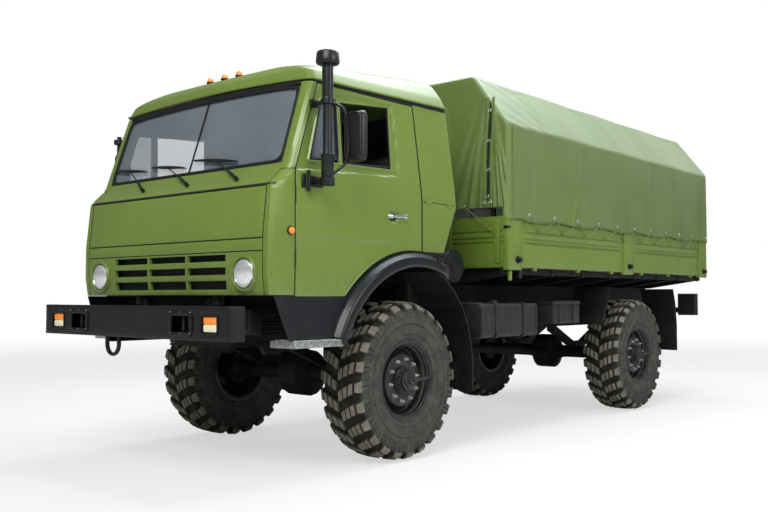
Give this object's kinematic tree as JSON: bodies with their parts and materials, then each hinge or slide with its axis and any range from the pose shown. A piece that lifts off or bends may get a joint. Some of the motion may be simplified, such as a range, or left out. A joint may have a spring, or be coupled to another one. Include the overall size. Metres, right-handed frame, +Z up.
{
  "type": "military cargo truck",
  "caption": "Two-axle cab-over cargo truck with tilting cab, opening doors, drop tailgate, steered front wheels and a canvas-covered load bed.",
  "frame": {"origin": "on the ground on the truck's centre plane, half way between the bumper's face and the tailgate's outer face", "axes": "-Y forwards, +X to the truck's left, +Z up"},
  "size_m": [3.07, 7.95, 3.38],
  "materials": {
    "green_paint": "satin olive green paint",
    "black_paint": "satin black paint",
    "iron": "dark oily iron",
    "tyre_rubber": "dusty rubber",
    "canvas": "coated green tarpaulin",
    "seat_cloth": "dark seat cloth",
    "window_glass": "clear grey glass",
    "bed_planks": "painted planks"
  },
  "bodies": {
    "chassis": {"chassis_frame": "black_paint", "front_bumper": "black_paint", "engine": "iron", "gearbox": "iron", "front_axle": "iron", "rear_axle": "iron", "fuel_tank_left": "black_paint", "fuel_tank_right": "black_paint", "battery_box": "black_paint", "air_tank": "black_paint", "air_cleaner": "black_paint", "silencer": "black_paint", "mudguard_front_left": "black_paint", "mudguard_front_right": "black_paint", "mudguard_rear_left": "black_paint", "mudguard_rear_right": "black_paint", "rear_crossbar": "black_paint", "bed_subframe": "black_paint", "bed_floor": "bed_planks", "headboard": "green_paint", "side_board_left": "green_paint", "side_board_right": "green_paint", "cover_bows": "green_paint", "canvas_cover": "canvas"},
    "tailgate": {"tailgate": "green_paint"},
    "cab": {"cab_shell": "green_paint", "cab_roof": "green_paint", "lower_front_panel": "green_paint", "windscreen": "window_glass", "fender_left": "black_paint", "fender_right": "black_paint", "seat_driver": "seat_cloth", "seat_passenger": "seat_cloth", "dashboard": "black_paint"},
    "service_flap": {"service_flap": "green_paint"},
    "roof_hatch": {"roof_hatch": "black_paint"},
    "door_left": {"door_left": "green_paint", "door_glass_left": "window_glass", "mirror_left": "black_paint"},
    "knuckle_left": {"knuckle_left": "iron"},
    "wheel_front_left": {"wheel_front_left": "black_paint", "tyre_front_left": "tyre_rubber"},
    "wheel_rear_left": {"wheel_rear_left": "black_paint", "tyre_rear_left": "tyre_rubber"},
    "door_right": {"door_right": "green_paint", "door_glass_right": "window_glass", "mirror_right": "black_paint"},
    "knuckle_right": {"knuckle_right": "iron"},
    "wheel_front_right": {"wheel_front_right": "black_paint", "tyre_front_right": "tyre_rubber"},
    "wheel_rear_right": {"wheel_rear_right": "black_paint", "tyre_rear_right": "tyre_rubber"}
  },
  "joints": [
    {"name": "cab_tilt", "type": "hinge", "parent": "chassis", "child": "cab", "pos_m": [0, -3.515, 1.275], "axis": [1, 0, 0], "range_deg": [0, 50]},
    {"name": "tailgate_hinge", "type": "hinge", "parent": "chassis", "child": "tailgate", "pos_m": [0, 3.955, 1.58], "axis": [-1, 0, 0], "range_deg": [0, 170]},
    {"name": "service_flap_hinge", "type": "hinge", "parent": "cab", "child": "service_flap", "pos_m": [0, -3.569, 2.05], "axis": [-1, 0, 0], "range_deg": [0, 75]},
    {"name": "roof_hatch_hinge", "type": "hinge", "parent": "cab", "child": "roof_hatch", "pos_m": [0, -2.345, 3.1473], "axis": [-1, 0, 0], "range_deg": [0, 60]},
    {"name": "door_left_hinge", "type": "hinge", "parent": "cab", "child": "door_left", "pos_m": [1.1725, -3.3895, 2.19], "axis": [0, 0, -1], "range_deg": [0, 65]},
    {"name": "steer_left", "type": "hinge", "parent": "chassis", "child": "knuckle_left", "pos_m": [0.86, -2.175, 0.63], "axis": [0, 0, 1], "range_deg": [-28, 28]},
    {"name": "wheel_front_left_spin", "type": "hinge", "parent": "knuckle_left", "child": "wheel_front_left", "pos_m": [1.005, -2.175, 0.63], "axis": [-1, 0, 0], "continuous": true},
    {"name": "wheel_rear_left_spin", "type": "hinge", "parent": "chassis", "child": "wheel_rear_left", "pos_m": [1.005, 2.025, 0.63], "axis": [-1, 0, 0], "continuous": true},
    {"name": "door_right_hinge", "type": "hinge", "parent": "cab", "child": "door_right", "pos_m": [-1.1725, -3.3895, 2.19], "axis": [0, 0, 1], "range_deg": [0, 65]},
    {"name": "steer_right", "type": "hinge", "parent": "chassis", "child": "knuckle_right", "pos_m": [-0.86, -2.175, 0.63], "axis": [0, 0, 1], "range_deg": [-28, 28]},
    {"name": "wheel_front_right_spin", "type": "hinge", "parent": "knuckle_right", "child": "wheel_front_right", "pos_m": [-1.005, -2.175, 0.63], "axis": [-1, 0, 0], "continuous": true},
    {"name": "wheel_rear_right_spin", "type": "hinge", "parent": "chassis", "child": "wheel_rear_right", "pos_m": [-1.005, 2.025, 0.63], "axis": [-1, 0, 0], "continuous": true}
  ],
  "couplings": [
    {"joint": "steer_right", "follows": "steer_left", "ratio": 1}
  ]
}
